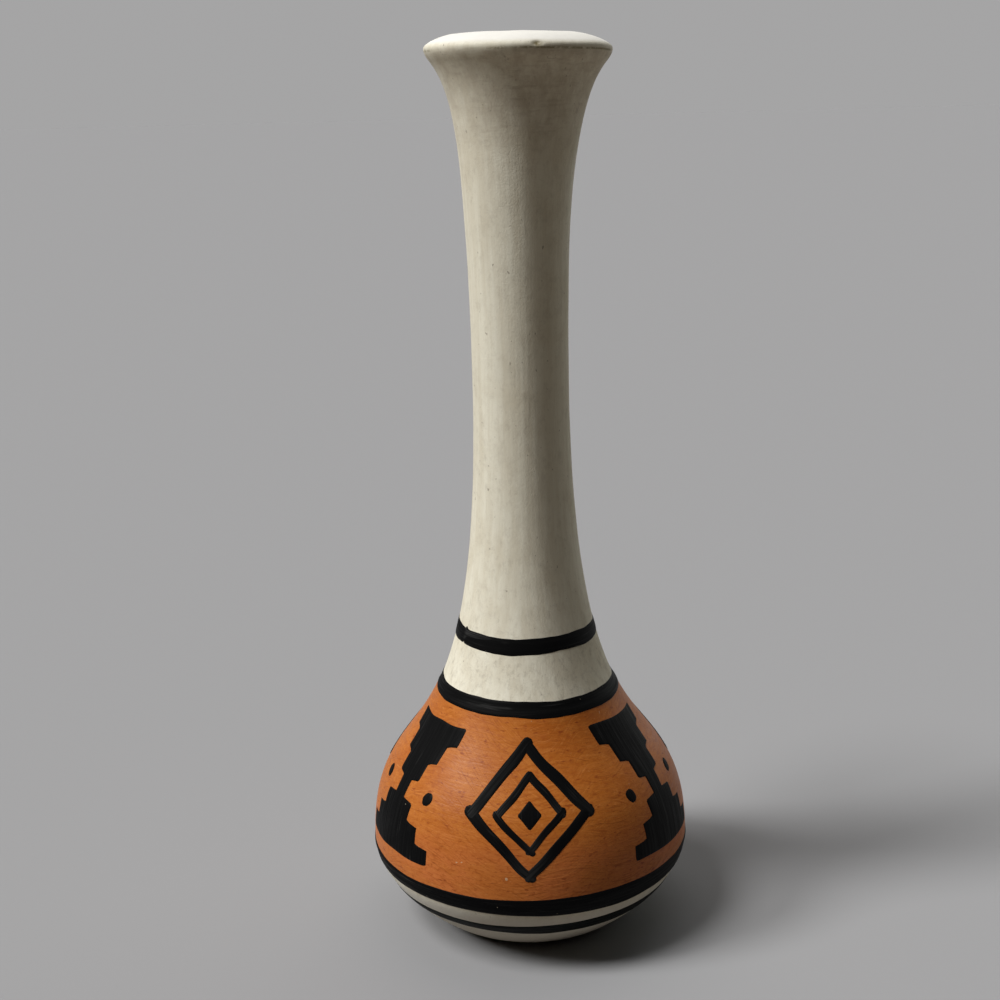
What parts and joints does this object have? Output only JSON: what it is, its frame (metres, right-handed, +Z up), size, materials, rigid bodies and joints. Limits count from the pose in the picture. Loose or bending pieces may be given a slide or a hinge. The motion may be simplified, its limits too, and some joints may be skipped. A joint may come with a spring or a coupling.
{
  "type": "bud vase",
  "caption": "Tall clay bud vase with a squat round bulb, a long narrow neck and a flared thick lip, coated in cream slip with an orange band and black painted rings and figures.",
  "frame": {"origin": "centre of the foot, on the surface that the vase stands on", "axes": "+Z up along the axis that the vase was turned on; -Y is the front, where a diamond faces the viewer"},
  "size_m": [0.0752, 0.0752, 0.203],
  "materials": {
    "clay": "fired bare earthenware, matt",
    "joining_slip": "fired clay slip, matt",
    "inner_glaze": "thin clear to cream liner glaze, glossy",
    "cream_slip": "rubbed cream slip, matt with a soft sheen",
    "orange_band": "brushed burnt-orange slip, satin",
    "black_paint": "brushed black paint, satin"
  },
  "bodies": {
    "root": {"lower_body": "clay", "neck": "clay", "joining_slip": "joining_slip", "inner_glaze": "inner_glaze", "cream_slip": "cream_slip", "orange_band": "orange_band", "neck_ring": "black_paint", "shoulder_ring": "black_paint", "belly_ring": "black_paint", "foot_ring": "black_paint", "diamond_outer_line_1": "black_paint", "diamond_outer_line_2": "black_paint", "diamond_outer_line_3": "black_paint", "diamond_inner_line_1": "black_paint", "diamond_inner_line_2": "black_paint", "diamond_inner_line_3": "black_paint", "diamond_lozenge_1": "black_paint", "diamond_lozenge_2": "black_paint", "diamond_lozenge_3": "black_paint", "solid_figure_1": "black_paint", "solid_figure_2": "black_paint", "solid_figure_3": "black_paint", "figure_dots_1": "black_paint", "figure_dots_2": "black_paint", "figure_dots_3": "black_paint"}
  },
  "joints": []
}
